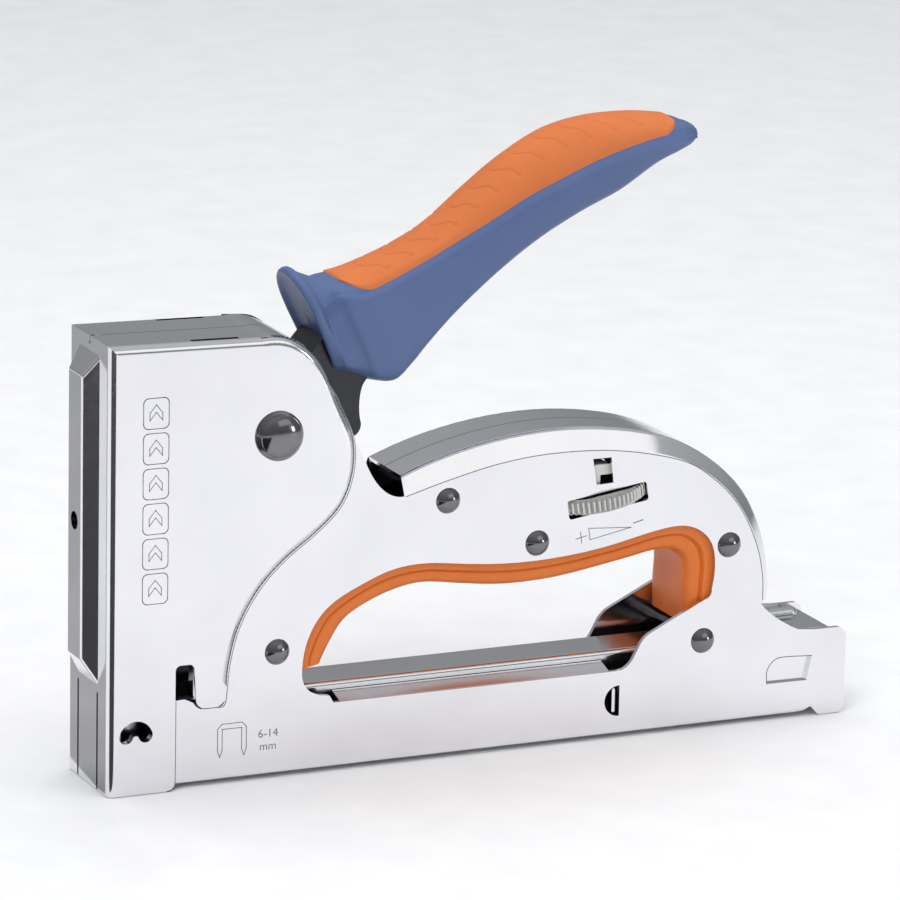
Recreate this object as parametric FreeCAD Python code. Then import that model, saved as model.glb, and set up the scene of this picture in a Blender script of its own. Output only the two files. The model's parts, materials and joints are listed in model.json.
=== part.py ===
"""Spring-powered hand staple gun, one STEP file per piece.

Millimetres. +X runs from the nose to the tail, +Y across the tool, +Z up.
Sizes are written from the front face of the nose (x = 0); put() moves every
piece so that the origin is the middle of the underside.
"""
import FreeCAD, Part
import math
import os

V = FreeCAD.Vector

# ---- driving dimensions -------------------------------------------------
X_CENTRE = 96.55            # nose face to the middle of the tool's length
COVER_HALF = 13.5           # head cover, outer half width
COVER_T = 1.0               # head cover sheet
PLATE_HALF = 12.4           # side plates, outer half width
PLATE_T = 1.2               # side plate sheet
CAP_HALF = 9.8              # joggled arch cap, outer half width
SEAM = 0.12                 # half gap where two folded sheets meet
RIB_OUT = 3.6               # how far the front rib stands out
LINER_HALF = 11.1           # grip liner half width
CHANNEL_HALF = 6.75         # magazine channel, outer half width
CHANNEL_TOP = 20.7
CHANNEL_T = 0.9
PIVOT = (42.7, 84.7)        # lever pivot
ARM = 36.5                  # pivot to lever nose pin
ARM_DROP = 13.5             # nose pin below the level at rest, degrees
LEVER_HALF = 7.0
LEVER_T = 1.6
RUN = 0.05                  # radial clearance of running fits
WHEEL = (129.9, 60.6)       # adjuster wheel centre
WHEEL_TILT = 8.5            # wheel plane rises to the rear, degrees
WHEEL_R = 15.2
WHEEL_T = 4.0
WHEEL_TEETH = 72
SMALL_RIVETS = {
    "rivet_front": (43.4, 31.3),
    "rivet_fulcrum": (87.3, 64.5),
    "rivet_arch_middle": (111.2, 51.7),
    "rivet_arch_rear": (163.3, 46.3),
    "rivet_tail": (156.8, 22.5),
}
RAIL_HALF = 4.6             # staple rail, outer half width
RAIL_TOP = 16.6
ROD_Z = 9.0                 # pusher rod height
BUTTON_Z = 23.2             # latch button height
CATCH = (163.5, 17.6)       # latch catch pivot
COLLAR_HALF = 10.3          # handle's finger guard, half width

# ---- outlines seen from the side, (x, z) --------------------------------
COVER_TOP_REAR = [(38.4, 108.6), (45.3, 107.9), (49.6, 105.5)]
COVER_REAR = [(49.6, 105.5), (54.0, 100.6), (58.3, 91.0), (61.9, 82.6), (62.1, 74.3), (59.3, 66.4),
              (53.2, 60.3), (44.5, 53.8), (38.0, 47.0), (33.2, 38.5), (30.9, 30.0), (30.2, 23.4)]
PLATE_NECK = [(62.8, 81.5), (66.0, 74.9), (69.3, 69.6), (72.4, 67.2), (75.8, 66.6)]
ARCH_EDGE = [(75.8, 66.6), (87.3, 69.8), (101.4, 72.8), (116.0, 74.0), (132.6, 73.1), (149.3, 69.3),
             (158.2, 64.1), (165.8, 56.3), (170.9, 46.4), (173.0, 37.9), (173.3, 31.1)]
ARCH_CROWN = [(75.9, 71.1), (91.8, 76.2), (106.9, 78.7), (119.5, 79.2), (134.5, 77.7), (150.0, 73.1),
              (159.6, 67.2), (168.3, 58.3), (173.5, 47.0), (175.4, 36.5), (175.6, 31.0)]
GRIP_EDGE = [(49.9, 25.6), (50.3, 30.0), (52.3, 35.8), (55.6, 40.3), (64.5, 45.6), (72.5, 48.6),
             (81.5, 49.5), (91.0, 48.5), (103.0, 47.4), (117.0, 47.6), (133.0, 49.7), (145.5, 52.2),
             (152.8, 51.9), (158.2, 47.7), (159.6, 42.0), (158.9, 35.5)]
LINER_EDGE = [(56.4, 26.6), (58.6, 30.8), (62.2, 36.2), (67.0, 39.3), (74.5, 42.2), (82.6, 43.5),
              (92.5, 42.2), (104.0, 40.9), (118.0, 41.3), (135.0, 43.9), (146.0, 45.7),
              (151.3, 44.3), (152.9, 40.0), (152.6, 33.0), (152.9, 25.9)]


# ---- small helpers ------------------------------------------------------
def at(p, y=0.0):
    return V(p[0], y, p[1])


def path(start, *steps):
    """Closed wire in the side plane. A step is a point, ("arc", via, end) or ("curve", points)."""
    edges, here = [], start
    for step in steps:
        if step[0] == "arc":
            edges.append(Part.Arc(at(here), at(step[1]), at(step[2])).toShape())
            here = step[2]
        elif step[0] == "curve":
            curve = Part.BSplineCurve()
            curve.interpolate([at(p) for p in step[1]])
            edges.append(curve.toShape())
            here = step[1][-1]
        else:
            edges.append(Part.makeLine(at(here), at(step)))
            here = step
    if (at(here) - at(start)).Length > 1e-6:
        edges.append(Part.makeLine(at(here), at(start)))
    return Part.Wire(edges)


def poly(points):
    return Part.makePolygon([at(p) for p in points] + [at(points[0])])


def slab(wire, y0, y1):
    """Solid between y0 and y1 over a side-plane outline."""
    face = Part.Face(wire)
    face.translate(V(0, y0, 0))
    return face.extrude(V(0, y1 - y0, 0))


def box(x0, x1, y0, y1, z0, z1):
    return Part.makeBox(x1 - x0, y1 - y0, z1 - z0, V(x0, y0, z0))


def across(p, r, y0, y1):
    """Round bar along Y at side position p."""
    return Part.makeCylinder(r, y1 - y0, V(p[0], y0, p[1]), V(0, 1, 0))


def along(x0, x1, r, y, z):
    """Round bar along X."""
    return Part.makeCylinder(r, x1 - x0, V(x0, y, z), V(1, 0, 0))


def shifted(points, d):
    """Points of a smooth curve moved sideways by d (positive is left of its direction)."""
    curve = Part.BSplineCurve()
    curve.interpolate([at(p) for p in points])
    out = []
    for p in points:
        t = curve.tangent(curve.parameter(at(p)))[0]
        n = V(-t.z, 0, t.x)
        q = at(p) + n * d
        out.append((q.x, q.z))
    return out


def band(curve_a, curve_b, y0, y1):
    """Solid between two open curves of the side plane."""
    wire = path(curve_a[0], ("curve", curve_a), curve_b[-1], ("curve", curve_b[::-1]))
    return slab(wire, y0, y1)


def mirrored(shape):
    return shape.mirror(V(0, 0, 0), V(0, 1, 0))


def fused(first, *rest):
    return first.fuse(list(rest)).removeSplitter()


def edges_where(shape, test):
    return [e for e in shape.Edges if test(e)]


def on_plane_y(edge, y):
    b = edge.BoundBox
    return abs(b.YMin - y) < 1e-4 and abs(b.YMax - y) < 1e-4


def put(name, shape):
    shape = shape.copy()
    shape.translate(V(-X_CENTRE, 0, 0))
    solids = shape.Solids
    if len(solids) == 1:
        shape = solids[0]
    print(name, len(solids), "solid(s)", shape.isValid(), round(shape.Volume, 1))
    shape.exportStep("parts/%s.step" % name)


# ---- head cover ---------------------------------------------------------
def cover_outline():
    return path((15.0, 0.0), (0.0, 0.0), (0.0, 109.4), (38.4, 108.6),
                ("curve", COVER_TOP_REAR), ("curve", COVER_REAR),
                ("arc", (29.4, 20.8), (27.2, 19.5)), (24.6, 19.5), ("arc", (22.9, 20.4), (22.2, 22.5)),
                (21.8, 29.5), ("arc", (21.4, 30.4), (20.5, 30.8)), (18.3, 30.8),
                ("arc", (17.4, 30.4), (17.0, 29.5)), (17.0, 2.0), ("arc", (16.4, 0.6), (15.0, 0.0)))


def cover_block():
    """The cover's outside with its front and top bends rounded."""
    block = slab(cover_outline(), -COVER_HALF, COVER_HALF)

    def bend(e):
        b = e.BoundBox
        upright = b.XMax < 0.01 and b.ZLength > 100
        top = b.ZMin > 105.4 and (on_plane_y(e, -COVER_HALF) or on_plane_y(e, COVER_HALF))
        return upright or top
    return block.makeFillet(2.0, edges_where(block, bend))


def cover_hollow():
    """The space inside the sheet, open at the rear and below."""
    t = COVER_T
    w = COVER_HALF - t
    top = [(38.4, 107.6), (44.9, 106.9), (48.9, 104.6)]
    wire = path((t, -5.0), (t, 108.4), (38.4, 107.6), ("curve", top), (49.3, 125.0), (80.0, 125.0),
                (80.0, -5.0))
    hollow = slab(wire, -w, w)

    def bend(e):
        b = e.BoundBox
        upright = b.XMax < t + 0.01 and b.ZLength > 100
        top_edge = b.ZMin > 104.5 and b.XMax < 49.0 and (on_plane_y(e, -w) or on_plane_y(e, w))
        return upright or top_edge
    return hollow.makeFillet(0.9, edges_where(hollow, bend))


def rib(stand_out, half_flat, half_base, z0, z1, ramp0, ramp1, x_root, round_r):
    """Raised rib on the front face, ramped at both ends, with sloping sides."""
    side = poly([(x_root, z0), (0.0, z0), (-stand_out, z0 + ramp0), (-stand_out, z1 - ramp1),
                 (0.0, z1), (x_root, z1)])
    body = slab(side, -half_base, half_base)
    plan = Part.makePolygon([V(x_root, -half_base, 0), V(0, -half_base, 0), V(-stand_out, -half_flat, 0),
                             V(-stand_out, half_flat, 0), V(0, half_base, 0), V(x_root, half_base, 0),
                             V(x_root, -half_base, 0)])
    column = Part.Face(plan).extrude(V(0, 0, 130))
    body = body.common(column)
    crests = edges_where(body, lambda e: e.BoundBox.XMin < -stand_out + 0.01)
    return body.makeFillet(round_r, crests)


def bean_hole():
    """Arched slot in the cover's cheek, hollow side down."""
    cx, cz, r, half, w = 7.05, 13.83, 2.57, math.radians(72.6), 1.8

    def p(radius, angle):
        return (cx + radius * math.sin(angle), cz + radius * math.cos(angle))

    tip_r = (p(r, half)[0] + w * math.cos(half), p(r, half)[1] - w * math.sin(half))
    tip_l = (2 * cx - tip_r[0], tip_r[1])
    return path(p(r + w, -half), ("arc", p(r + w, 0), p(r + w, half)), ("arc", tip_r, p(r - w, half)),
                ("arc", p(r - w, 0), p(r - w, -half)), ("arc", tip_l, p(r + w, -half)))


def head_cover():
    cover = cover_block().cut(cover_hollow())
    outer_rib = rib(RIB_OUT, 4.4, 6.7, 26.0, 106.0, 6.0, 5.0, 0.6, 1.2)
    inner_rib = rib(RIB_OUT - 0.2, 3.9, 6.0, 27.4, 104.6, 5.4, 4.4, 0.4, 0.7)
    inner_rib.translate(V(1.1, 0, 0))
    cover = cover.fuse(outer_rib).cut(inner_rib)
    cover = cover.cut(Part.makeCylinder(2.2, 10, V(-6, 0, 65), V(1, 0, 0)))
    for side in (-1, 1):
        slit = box(-2, 2.4, side * 6.3 - 0.45, side * 6.3 + 0.45, -1, 23.8)
        top = Part.makeCylinder(0.45, 4.4, V(-2, side * 6.3, 23.8), V(1, 0, 0))
        cover = cover.cut(slit.fuse(top))
        slot = box(21.0, 33.0, side * 11.05 - 0.75, side * 11.05 + 0.75, 104, 112)
        cover = cover.cut(slot)
        y0, y1 = sorted((side * 9.6, side * (COVER_HALF - COVER_T)))
        cover = cover.fuse(box(21.9, 22.9, y0, y1, 21.8, 29.6))
    relief = Part.makePolygon([V(-1, -0.9, 0), V(3.6, 0, 0), V(-1, 0.9, 0), V(-1, -0.9, 0)])
    cover = cover.cut(Part.Face(relief).extrude(V(0, 0, 3)).translated(V(0, 0, 107.5)))
    cover = cover.cut(box(2.0, 60, -SEAM, SEAM, 104, 112))
    cover = cover.cut(slab(bean_hole(), -20, 20))
    cover = cover.cut(across(PIVOT, 3.0 + RUN, -20, 20))
    return cover


# ---- side plates --------------------------------------------------------
def plate_outline():
    return path((4.5, 1.0), (4.5, 21.4), (19.8, 22.0), (23.0, 20.4), (25.5, 20.4), (25.5, 86.0),
                ("arc", (30.5, 94.6), (40.0, 97.6)), (47.0, 97.6), ("arc", (57.0, 91.6), (62.8, 81.5)),
                ("curve", PLATE_NECK), ("curve", ARCH_EDGE),
                (172.7, 30.2), ("curve", [(172.7, 30.2), (175.2, 27.7), (178.8, 25.1), (183.2, 22.7)]),
                (188.1, 22.2), (194.2, 22.2), ("arc", (195.9, 21.5), (196.7, 19.8)), (196.7, 4.5),
                ("arc", (196.6, 1.6), (195.5, 0.0)), (189.7, 0.0), (187.4, 2.4), (184.4, 1.0))


def grip_opening():
    return path(GRIP_EDGE[0], ("curve", GRIP_EDGE), ("arc", (158.6, 33.9), (157.2, 33.0)),
                (148.3, 28.7), (142.0, 25.6), ("arc", (140.4, 24.2), (139.3, 22.4)), (138.0, 20.0),
                ("arc", (136.2, 17.9), (133.4, 17.1)), (58.2, 17.1), (57.2, 18.9), (54.3, 19.4),
                ("arc", (51.0, 21.6), GRIP_EDGE[0]))


def wheel_slot():
    slot = box(-10.75, 10.75, -30, 30, -2.4, 2.4)
    slot = slot.makeFillet(0.8, edges_where(slot, lambda e: e.BoundBox.YLength > 50))
    return tilted(slot)


def tilted(shape):
    """Turn a shape drawn level at the origin into the wheel's place."""
    shape = shape.copy()
    shape.rotate(V(0, 0, 0), V(0, 1, 0), -WHEEL_TILT)
    shape.translate(V(WHEEL[0], 0, WHEEL[1]))
    return shape


def strip(curve_a, curve_b, y):
    """Closed wire between two side-plane curves, at one Y."""
    wire = path(curve_a[0], ("curve", curve_a), curve_b[-1], ("curve", curve_b[::-1]))
    wire.translate(V(0, y, 0))
    return wire


def arch_cap(y_out, y_cap):
    """Half of the arch roof on the -Y side: a leaning band, and the top."""
    low = strip(ARCH_EDGE, shifted(ARCH_EDGE, -2 * PLATE_T), -y_out)
    high = strip(ARCH_CROWN, shifted(ARCH_CROWN, -2 * PLATE_T), -y_cap)
    leaning = Part.makeLoft([low, high], True, True)
    top = band(ARCH_CROWN, shifted(ARCH_CROWN, -PLATE_T), -y_cap, -SEAM)
    return leaning, top


def beam_flanges():
    """Bottom flange and rolled rim of the lower beam, -Y side."""
    bottom = box(17.0, 183.0, -PLATE_HALF, -CHANNEL_HALF - 0.4, 1.0, 2.2)
    rim = [(-12.4, 15.6), (-12.4, 16.6), (-11.9, 17.2), (-7.1, 18.6), (-7.1, 17.5), (-11.2, 16.3),
           (-11.2, 15.6)]
    wire = Part.makePolygon([V(60.0, y, z) for y, z in rim + rim[:1]])
    return bottom, Part.Face(wire).extrude(V(71.6, 0, 0))


def left_plate():
    plate = slab(plate_outline(), -PLATE_HALF, -PLATE_HALF + PLATE_T)
    leaning, top = arch_cap(PLATE_HALF, CAP_HALF)
    bottom, rim = beam_flanges()
    plate = plate.cut(slab(grip_opening(), -20, 20))
    plate = fused(plate, leaning, top, bottom, rim)
    plate = rounded_bends(plate)
    plate = plate.cut(wheel_slot())
    plate = plate.cut(slab(poly([(125.6, 71.4), (130.5, 71.4), (131.2, 65.0), (126.7, 64.8)]), -20, 20))
    plate = plate.cut(slab(bean_hole(), -20, 20))
    plate = plate.cut(slab(path((134.4, 5.6), (134.4, 13.4), ("arc", (130.4, 9.5), (134.4, 5.6))), -20, 20))
    plate = tail_lug(plate)
    for p in SMALL_RIVETS.values():
        plate = plate.cut(across(p, 1.8, -20, 20))
    return plate.cut(across(PIVOT, 3.0 + RUN, -20, 20))


def rounded_bends(plate):
    """Round the outside of the arch roof and the beam's lower bend."""
    def outer_bend(e):
        b = e.BoundBox
        roof = b.XLength > 60 and on_plane_y(e, -CAP_HALF) and b.ZMax > 78
        beam = b.XLength > 150 and b.ZMax < 1.01 and on_plane_y(e, -PLATE_HALF)
        return roof or beam
    return plate.makeFillet(1.1, edges_where(plate, outer_bend))


def tail_lug(plate):
    """Pocket pressed inward near the tail."""
    pocket = path((175.0, 9.4), ("arc", (175.7, 13.8), (179.9, 16.0)), (187.3, 15.5), (186.0, 9.3))
    wide = [(173.6, 8.4), (174.2, 15.0), (179.0, 17.0), (188.5, 16.6), (187.2, 8.3)]
    plate = plate.cut(slab(pocket, -20, -5))
    return plate.fuse(slab(poly(wide), -PLATE_HALF + PLATE_T, -PLATE_HALF + PLATE_T + 0.9))


# ---- other fixed pieces -------------------------------------------------
def grip_liner():
    outer = shifted(GRIP_EDGE, 1.4)
    wire = path(outer[0], ("curve", outer), (159.6, 25.9), LINER_EDGE[-1], ("curve", LINER_EDGE[::-1]))
    liner = slab(wire, -LINER_HALF, LINER_HALF)
    inner = edges_where(liner, lambda e: e.BoundBox.XLength > 95 and e.BoundBox.XLength < 99
                        and e.BoundBox.ZMax < 46.5)
    return liner.makeFillet(2.2, inner)


def magazine_channel():
    h, t, top = CHANNEL_HALF, CHANNEL_T, CHANNEL_TOP
    shell = box(4.2, 192.5, -h, h, 1.2, top)
    shell = shell.makeFillet(1.2, edges_where(shell, lambda e: e.BoundBox.XLength > 100 and e.BoundBox.ZMin > 20))
    shell = shell.cut(box(0, 200, -h + t, h - t, -1, top - t))
    return shell.cut(box(160.0, 173.5, -1.6, 1.6, 10, 30))


def nose_guide():
    block = box(1.15, 4.1, -11.0, 11.0, 0.4, 28.0)
    return block.cut(box(2.8, 6, -5.4, 5.4, -1, 30))


def plunger_guide(side):
    y0, y1 = (8.15, 12.35) if side > 0 else (-12.35, -8.15)
    guide = box(2.2, 14.5, y0, y1, 30.0, 103.0)
    return guide.makeFillet(0.8, edges_where(guide, lambda e: e.BoundBox.ZLength > 60))


def recoil_buffer():
    block = box(4.4, 14.2, -8.1, 8.1, 37.0, 43.8)
    return block.makeFillet(1.0, edges_where(block, lambda e: e.BoundBox.XLength > 9))


def rivet(p, shank_r, head_r, head_h, y_face):
    """Full-width rivet with a low domed head on each side."""
    bar = across(p, shank_r, -y_face, y_face)
    ball_r = (head_r ** 2 + head_h ** 2) / (2 * head_h)
    for side in (-1, 1):
        centre = V(p[0], side * (y_face + head_h - ball_r), p[1])
        y0, y1 = sorted((side * y_face, side * (y_face + head_h + 1)))
        dome = Part.makeSphere(ball_r, centre).common(across(p, head_r, y0, y1))
        bar = bar.fuse(dome)
    return bar.removeSplitter()


def pivot_rivet():
    """Lever pivot with a stepped head: flat rim and raised dome."""
    bar = rivet(PIVOT, 3.0, 4.9, 3.5, COVER_HALF)
    for side in (-1, 1):
        y0, y1 = sorted((side * COVER_HALF, side * (COVER_HALF + 0.9)))
        rim = across(PIVOT, 6.0, y0, y1)
        bar = bar.fuse(rim)
    return bar.removeSplitter()


def tube(p, r_out, r_in, half):
    return across(p, r_out, -half, half).cut(across(p, r_in, -half - 1, half + 1))


def leaf(points, thick, half, nose=None):
    """Leaf spring following points, with an optional narrow nose (x limit, half width)."""
    strip = band(shifted(points, thick / 2), shifted(points, -thick / 2), -half, half)
    if nose:
        x_end, narrow = nose
        for y0, y1 in ((-half - 1, -narrow), (narrow, half + 1)):
            strip = strip.cut(box(-5, x_end, y0, y1, 0, 120))
    return strip


def coil(radius, wire, pitch, turns, start, direction):
    """Open coil spring from start along direction."""
    helix = Part.makeHelix(pitch, pitch * turns, radius)
    circle = Part.Wire(Part.makeCircle(wire, V(radius, 0, 0), V(0, 1, 0)))
    spring = Part.Wire(helix.Edges).makePipeShell([circle], True, True)
    spring.Placement = FreeCAD.Placement(start, FreeCAD.Rotation(V(0, 0, 1), direction))
    return spring


def return_spring():
    start = V(PIVOT[0], -4.2, PIVOT[1])
    spring = coil(5.7, 0.55, 1.4, 6, start, V(0, 1, 0))
    return spring


def latch_bracket():
    shell = box(164.5, 176.5, -4.2, 4.2, CHANNEL_TOP, 26.2)
    shell = shell.cut(box(165.5, 175.5, -3.4, 3.4, 10, 25.7))
    return shell.cut(along(160, 180, 1.8 + RUN, 0, BUTTON_Z))


def catch_pin():
    return across(CATCH, 0.8, -CHANNEL_HALF + CHANNEL_T, CHANNEL_HALF - CHANNEL_T)


# ---- lever --------------------------------------------------------------
def nose_pin_place():
    a = math.radians(ARM_DROP)
    return (PIVOT[0] - ARM * math.cos(a), PIVOT[1] - ARM * math.sin(a))


LEVER_TOP = [(7.21, 79.6), (20.0, 83.4), (32.0, 89.6), (42.0, 93.8), (50.0, 98.8), (56.6, 106.0),
             (62.0, 110.8), (70.0, 115.0), (90.0, 123.4), (110.0, 134.4), (131.0, 142.6)]
LEVER_REAR = [(133.4, 138.9), (111.5, 128.6), (95.0, 116.4), (85.5, 106.8), (78.5, 100.2), (73.5, 97.4),
              (67.5, 94.6), (66.1, 90.5), (66.3, 85.0)]


def lever_outline():
    tip = nose_pin_place()
    return path((tip[0], tip[1] - 3.4), ("arc", (tip[0] - 3.4, tip[1]), LEVER_TOP[0]),
                ("curve", LEVER_TOP), LEVER_REAR[0], ("curve", LEVER_REAR),
                ("arc", (66.0, 82.2), (64.0, 80.9)),
                ("curve", [(64.0, 80.9), (54.0, 77.6), (42.7, 76.2), (28.0, 75.6), tip_under()]))


def tip_under():
    tip = nose_pin_place()
    return (tip[0], tip[1] - 3.4)


def lever_frame():
    h, t = LEVER_HALF, LEVER_T
    cheeks = slab(lever_outline(), -h, -h + t).fuse(slab(lever_outline(), h - t, h))
    web = slab(lever_outline(), -h, h)
    under = shifted(LEVER_TOP, -t)
    web = web.common(band(LEVER_TOP, under, -h, h)).cut(box(0, 34, -20, 20, 0, 200))
    frame = cheeks.fuse(web)
    frame = frame.removeSplitter()
    frame = frame.cut(across(PIVOT, 3.0 + RUN, -20, 20))
    frame = frame.cut(across(nose_pin_place(), 1.5, -20, 20))
    return frame.cut(across((96.0, 121.0), 1.6, -20, 20))


# Handle sections: top point, bottom point, half width, where the side is widest (0 low, 1 high)
HANDLE = [
    ((51.4, 117.4), (60.4, 97.4), 8.8),
    ((57.9, 118.9), (69.4, 93.9), 10.9),
    ((65.0, 120.2), (75.0, 93.6), 11.0),
    ((71.5, 122.2), (79.2, 97.0), 10.6),
    ((78.6, 125.1), (83.8, 102.0), 10.3),
    ((87.0, 129.7), (91.0, 109.4), 10.3),
    ((95.4, 137.0), (101.6, 118.2), 10.8),
    ((104.6, 144.0), (112.0, 125.6), 11.4),
    ((115.7, 150.3), (122.6, 131.4), 11.8),
    ((126.7, 153.0), (132.8, 136.0), 11.6),
    ((138.2, 153.4), (142.6, 141.2), 10.8),
    ((147.6, 152.4), (150.4, 144.8), 9.4),
    ((153.6, 150.8), (155.2, 146.4), 6.6),
]
PAD_EDGE = [(59.4, 121.6), (60.6, 117.6), (63.8, 116.3), (69.0, 117.4), (80.0, 122.0), (90.7, 127.4), (101.0, 132.9),
            (108.0, 136.9), (116.5, 140.7), (127.2, 145.0), (138.2, 148.0), (147.2, 149.6), (152.6, 152.0)]


def handle_section(top, bottom, half):
    """Rounded, flat-sided closed curve across the handle."""
    a, b = at(top), at(bottom)
    mid, up = (a + b) * 0.5, (a - b) * 0.5
    ring = [(0.0, 1.0), (0.55, 0.93), (0.88, 0.68), (1.0, 0.22), (0.97, -0.3), (0.82, -0.76), (0.5, -0.95),
            (0.0, -1.0)]
    ring = ring + [(-y, u) for y, u in ring[-2:0:-1]]
    curve = Part.BSplineCurve()
    curve.interpolate([mid + up * u + V(0, half * y, 0) for y, u in ring], PeriodicFlag=True)
    return Part.Wire(curve.toShape())


def handle_block():
    return Part.makeLoft([handle_section(*s) for s in HANDLE], True)


def above_pad_edge():
    wire = path(PAD_EDGE[0], ("curve", PAD_EDGE), (165.0, 165.0), (59.4, 165.0))
    return slab(wire, -20, 20)


def collar():
    """Finger guard: a round-topped flange leaning back toward the head."""
    r = COLLAR_HALF
    line = Part.Arc(V(0, -r, 0), V(-r, 0, 0), V(0, r, 0)).toShape()
    low = Part.makePolygon([V(0, r, 0), V(10, r, 0), V(16.4, 7.6, 0), V(16.4, -7.6, 0), V(10, -r, 0), V(0, -r, 0)])
    disc = Part.Face(Part.Wire([line] + low.Edges)).extrude(V(0, 0, 2.4))
    disc = disc.makeFillet(1.0, edges_where(disc, lambda e: e.BoundBox.ZLength < 0.01))
    disc.translate(V(0, 0, -1.2))
    disc.rotate(V(0, 0, 0), V(0, 1, 0), 65.5)
    disc.translate(V(53.9, 0, 112.4))
    return disc


def handle_pieces():
    block = handle_block()
    cavity = slab(lever_outline(), -LEVER_HALF, LEVER_HALF)
    over = above_pad_edge()
    pin = across((96.0, 121.0), 1.6, -20, 20)
    pad = block.common(over)
    sleeve = block.cut(over).fuse(collar()).cut(cavity).cut(pin)
    pad = pad.cut(sleeve)
    return largest(sleeve), largest(pad)


def largest(shape):
    return max(shape.Solids, key=lambda s: s.Volume)


# ---- plunger ------------------------------------------------------------
def plunger_block():
    block = box(3.8, 12.0, -8.0, 8.0, 44.0, 68.0).fuse(box(3.8, 12.0, -5.0, 5.0, 68.0, 88.0))
    block = block.removeSplitter()
    z = nose_pin_place()[1]
    slot = path((6.1, z - 1.6), ("arc", (4.5, z), (6.1, z + 1.6)), (7.5, z + 1.6),
                ("arc", (9.1, z), (7.5, z - 1.6)))
    block = block.cut(slab(slot, -10, 10))
    block = block.cut(box(4.4, 20, -3.6, 3.6, 49.6, 55.2))
    for z in (59.5, 65.0):
        block = block.cut(along(0, 20, 1.2, 0, z))
    return block


def driver_blade():
    blade = box(2.9, 3.8, -5.25, 5.25, 0.5, 67.6)
    for z in (59.5, 65.0):
        blade = blade.cut(along(0, 20, 1.2, 0, z))
    return blade


def blade_rivets():
    parts = []
    for z in (59.5, 65.0):
        parts.append(along(2.3, 12.5, 1.2, 0, z).fuse(along(2.3, 2.9, 2.0, 0, z)).fuse(
            along(12.0, 12.6, 2.0, 0, z)).removeSplitter())
    return Part.makeCompound(parts)


# ---- power adjuster -----------------------------------------------------
def adjuster_wheel():
    """Knurled thumb wheel with a threaded bore."""
    points = []
    for i in range(WHEEL_TEETH):
        for part, r in ((0.0, 14.55), (0.28, WHEEL_R), (0.62, WHEEL_R)):
            a = 2 * math.pi * (i + part) / WHEEL_TEETH
            points.append(V(r * math.cos(a), r * math.sin(a), -WHEEL_T / 2))
    rim = Part.Face(Part.makePolygon(points + points[:1])).extrude(V(0, 0, WHEEL_T))
    cone = Part.makeCone(WHEEL_R - 0.7, WHEEL_R + 0.35, 1.05, V(0, 0, -WHEEL_T / 2))
    top = Part.makeCone(WHEEL_R + 0.35, WHEEL_R - 0.7, 1.05, V(0, 0, WHEEL_T / 2 - 1.05))
    mid = Part.makeCylinder(WHEEL_R + 0.35, WHEEL_T - 2.1, V(0, 0, -WHEEL_T / 2 + 1.05))
    wheel = rim.common(cone.fuse([top, mid]).removeSplitter())
    for z in (-WHEEL_T / 2, WHEEL_T / 2 - 0.7):
        ring = Part.makeCylinder(10.5, 0.7, V(0, 0, z)).cut(Part.makeCylinder(5.2, 0.7, V(0, 0, z)))
        wheel = wheel.cut(ring)
    wheel = wheel.cut(Part.makeCylinder(3.0 + RUN, 20, V(0, 0, -10)))
    return tilted(wheel)


def adjuster_screw():
    return tilted(Part.makeCylinder(3.0, 12.6, V(0, 0, -5.4)))


def spring_saddle():
    """Cross bar under the leaf's tail, with side tabs that show through the windows."""
    bar = box(126.6, 131.4, -10.8, 10.8, 66.8, 69.4)
    bar = bar.makeFillet(0.8, edges_where(bar, lambda e: e.BoundBox.YLength > 20 and e.BoundBox.ZMin > 69))
    for side in (-1, 1):
        y0, y1 = sorted((side * 9.8, side * 10.8))
        bar = bar.fuse(box(123.0, 128.4, y0, y1, 64.9, 68.6))
    post = tilted(Part.makeCylinder(3.0, 12.6, V(0, 0, -5.4)))
    return bar.removeSplitter().cut(post)


# ---- magazine drawer ----------------------------------------------------
def staple_rail():
    h = RAIL_HALF
    rail = box(4.8, 192.7, -h, h, 2.4, RAIL_TOP).cut(box(0, 200, -h + 0.8, h - 0.8, 3.2, 30))
    return rail.fuse(box(166.0, 170.0, -h + 0.8, h - 0.8, 13.2, RAIL_TOP - 0.2)).removeSplitter()


def drawer_end_cap():
    cap = box(192.7, 196.2, -10.9, 10.9, 2.6, 20.4)
    cap = cap.makeFillet(1.2, edges_where(cap, lambda e: e.BoundBox.XMin > 196.1))
    lip = box(193.5, 196.2, -5.5, 5.5, 0.9, 2.6)
    return cap.fuse(lip).removeSplitter()


def staple_pusher():
    block = box(6.0, 20.0, -3.7, 3.7, 3.4, 16.6).fuse(box(6.0, 20.0, -5.3, 5.3, 16.7, 19.2))
    block = block.fuse(box(6.0, 20.0, -3.7, 3.7, 16.5, 16.8)).removeSplitter()
    return block.cut(along(0, 30, 1.25 + RUN, 0, ROD_Z))


# ---- latch --------------------------------------------------------------
def latch_button():
    rod = along(163.0, 187.2, 1.8, 0, BUTTON_Z)
    tip = Part.makeSphere(1.8, V(187.2, 0, BUTTON_Z))
    shoulder = along(172.0, 173.2, 1.85, 0, BUTTON_Z).fuse(box(172.0, 173.2, -2.6, 2.6, 21.4, 24.9))
    return rod.fuse([tip, shoulder]).removeSplitter()


def latch_catch():
    """Bell crank: the button pushes its upper arm and its tooth lifts."""
    outline = path((162.7, 24.4), (161.3, 24.4), (161.3, 18.6), ("arc", (162.0, 15.9), (163.5, 15.3)),
                   ("arc", (164.6, 15.7), (165.2, 16.9)), (170.2, 16.9), (170.4, 16.6), (171.9, 16.6),
                   (171.9, 18.4), (163.9, 18.9), (162.7, 19.6))
    catch = slab(outline, -1.3, 1.3)
    return catch.cut(across(CATCH, 0.8 + RUN, -5, 5))


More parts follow.
